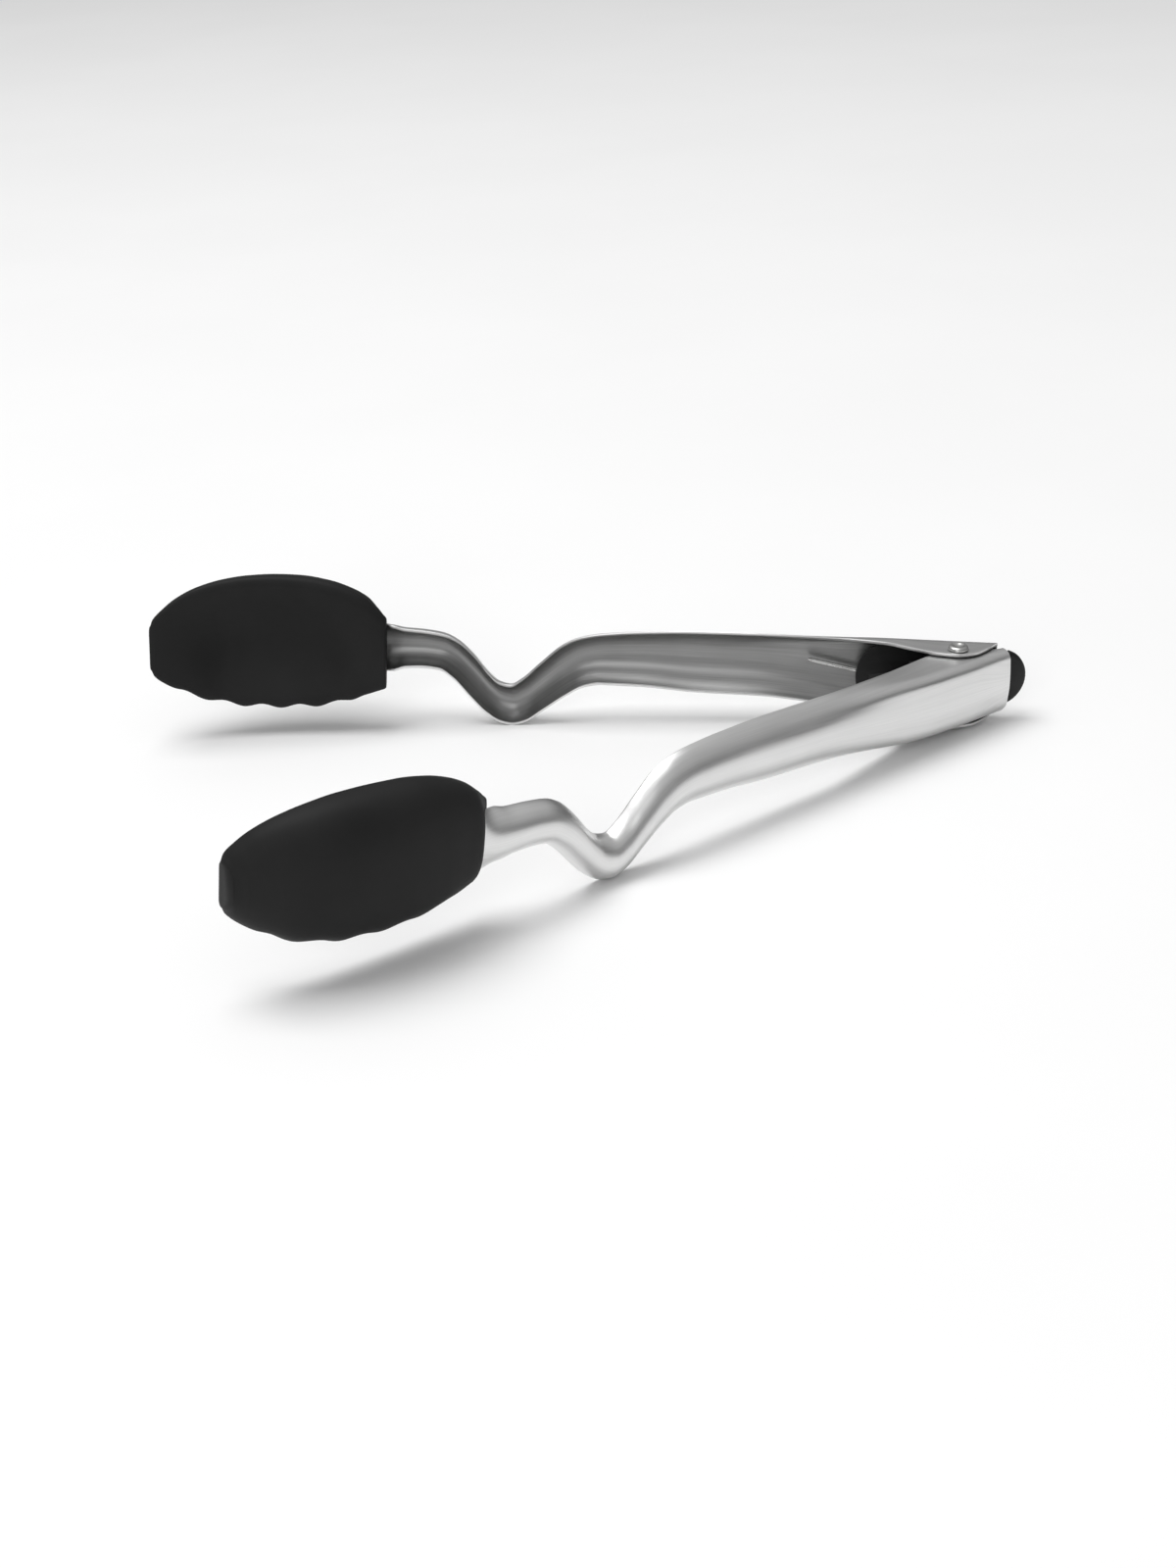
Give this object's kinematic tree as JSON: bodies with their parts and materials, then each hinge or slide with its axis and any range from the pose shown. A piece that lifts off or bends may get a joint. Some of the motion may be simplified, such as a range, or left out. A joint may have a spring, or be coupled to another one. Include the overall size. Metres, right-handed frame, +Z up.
{
  "type": "spring loaded kitchen tongs",
  "caption": "Spring loaded tongs: two bent stainless channel arms on one rivet, spoon-shaped scalloped silicone heads, and a pull-out button that locks them closed.",
  "frame": {"origin": "on the bench under the middle of the open tongs' bounding box", "axes": "+X along the tongs from the heads to the button, +Y across them towards the arm whose flanges lie outside, +Z up from the bench"},
  "size_m": [0.2336, 0.1672, 0.0472],
  "materials": {
    "arm_steel": "stainless steel, brushed along the arm",
    "rivet_steel": "satin stainless rivet",
    "spring_wire": "drawn spring wire",
    "head_silicone": "matt black silicone",
    "lock_nylon": "moulded black nylon",
    "button_nylon": "satin moulded black nylon"
  },
  "bodies": {
    "pivot": {"pivot_rivet": "rivet_steel", "pivot_sleeve": "lock_nylon", "upper_washer": "lock_nylon", "lower_washer": "lock_nylon", "torsion_spring": "spring_wire"},
    "far_side": {"far_arm": "arm_steel", "far_head": "head_silicone", "far_insert": "lock_nylon"},
    "near_side": {"near_arm": "arm_steel", "near_head": "head_silicone", "near_insert": "lock_nylon"},
    "lock": {"lock_slider": "lock_nylon", "push_button": "button_nylon"}
  },
  "joints": [
    {"name": "far_arm_hinge", "type": "hinge", "parent": "pivot", "child": "far_side", "pos_m": [0.09496, 0, -0.00667], "axis": [0.0583, 0, 0.9983], "range_deg": [0, 18.8], "stiffness_Nm_per_rad": 0.6, "deforming": ["torsion_spring"]},
    {"name": "near_arm_hinge", "type": "hinge", "parent": "pivot", "child": "near_side", "pos_m": [0.09496, 0, -0.00667], "axis": [0.0583, 0, 0.9983], "range_deg": [-18.8, 0], "stiffness_Nm_per_rad": 0.6, "deforming": ["torsion_spring"]},
    {"name": "button_pull", "type": "slide", "parent": "pivot", "child": "lock", "axis": [0.9983, 0, -0.0583], "range_m": [0, 0.005]}
  ],
  "couplings": [
    {"joint": "near_arm_hinge", "follows": "far_arm_hinge", "ratio": -1}
  ]
}
